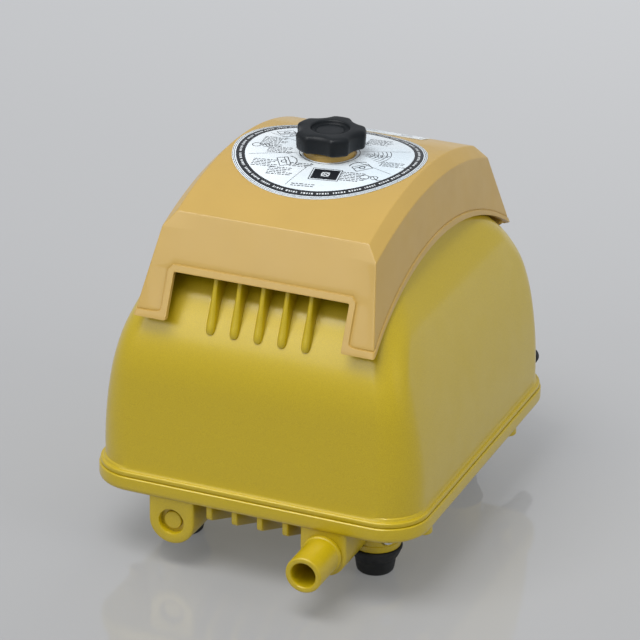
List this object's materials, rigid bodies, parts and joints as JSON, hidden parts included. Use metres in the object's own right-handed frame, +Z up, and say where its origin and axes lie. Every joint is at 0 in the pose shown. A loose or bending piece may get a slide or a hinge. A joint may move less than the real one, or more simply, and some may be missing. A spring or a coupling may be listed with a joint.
{
  "type": "air pump",
  "caption": "Linear diaphragm air pump with an arched cast housing, a lift-off slotted cover held by a star knob, a side-by-side port base with a hose nozzle, and rubber feet.",
  "frame": {"origin": "middle of the box around the pump, on the plane that the feet stand on", "axes": "+Z up, -Y towards the outlet nozzle (front), +X towards the side that the nozzle and cord gland are on"},
  "size_m": [0.1686, 0.238, 0.1976],
  "materials": {
    "gold_paint": "satin pearlescent paint",
    "tan_plastic": "smooth moulded, slightly glossy",
    "black_plastic": "fine moulded",
    "black_rubber": "moulded rubber",
    "label_film": "printed film",
    "zinc_steel": "zinc plated",
    "brass": "turned",
    "filter_foam": "open cell foam",
    "grey_plastic": "moulded",
    "white_nylon": "moulded nylon",
    "aluminium": "machined",
    "lamination_steel": "stacked laminations",
    "copper_winding": "enamelled wire",
    "magnet": "nickel plated",
    "valve_rubber": "silicone",
    "lead_insulation": "PVC"
  },
  "bodies": {
    "casing": {"base_tray": "gold_paint", "housing": "gold_paint", "casing_gasket": "black_rubber", "outlet_nozzle": "gold_paint", "foot_front_left": "black_rubber", "foot_front_right": "black_rubber", "foot_rear_left": "black_rubber", "foot_rear_right": "black_rubber", "foot_screws": "zinc_steel", "base_screws": "zinc_steel", "knob_stud": "zinc_steel", "air_tank": "grey_plastic", "tank_lid": "grey_plastic", "tank_gasket": "black_rubber", "outlet_elbow": "black_rubber", "vibration_mounts": "black_rubber", "mount_screws": "zinc_steel", "motor_bracket": "aluminium", "core_right": "lamination_steel", "core_left": "lamination_steel", "bobbin_right": "white_nylon", "bobbin_left": "white_nylon", "coil_right": "copper_winding", "coil_left": "copper_winding", "core_bolts": "zinc_steel", "diaphragm_front": "black_rubber", "diaphragm_rear": "black_rubber", "diaphragm_seat_front": "white_nylon", "diaphragm_seat_rear": "white_nylon", "pump_head_front": "white_nylon", "pump_head_rear": "white_nylon", "umbrella_valves": "valve_rubber", "head_gasket_front": "black_rubber", "head_gasket_rear": "black_rubber", "head_cover_front": "white_nylon", "head_cover_rear": "white_nylon", "head_screws": "zinc_steel", "head_hose_front": "black_rubber", "head_hose_rear": "black_rubber", "hose_clamps": "zinc_steel", "terminal_block": "white_nylon", "terminal_screws": "brass", "mains_lead": "black_plastic", "cable_gland": "black_rubber", "coil_leads": "lead_insulation"},
    "cover": {"top_cover": "tan_plastic", "round_label": "label_film", "rear_label": "label_film", "knob_washer": "zinc_steel"},
    "knob": {"knob": "black_plastic", "knob_insert": "brass"},
    "filter": {"air_filter": "filter_foam", "filter_frame": "black_plastic"},
    "armature": {"armature": "aluminium", "armature_magnets": "magnet", "hub_plates": "zinc_steel", "hub_nuts": "zinc_steel"}
  },
  "joints": [
    {"name": "cover_lift", "type": "slide", "parent": "casing", "child": "cover", "axis": [0, 0, 1], "range_m": [0, 0.12]},
    {"name": "knob_turn", "type": "hinge", "parent": "cover", "child": "knob", "pos_m": [0, 0, 0.19], "axis": [0, 0, 1], "range_deg": [0, 1080]},
    {"name": "filter_lift", "type": "slide", "parent": "casing", "child": "filter", "axis": [0, 0, 1], "range_m": [0, 0.07]},
    {"name": "armature_slide", "type": "slide", "parent": "casing", "child": "armature", "axis": [0, 1, 0], "range_m": [-0.003, 0.003], "stiffness_N_per_m": 3000, "deforming": ["diaphragm_front", "diaphragm_rear"]}
  ],
  "couplings": [
    {"joint": "filter_lift", "follows": "cover_lift", "ratio": 0.5}
  ]
}
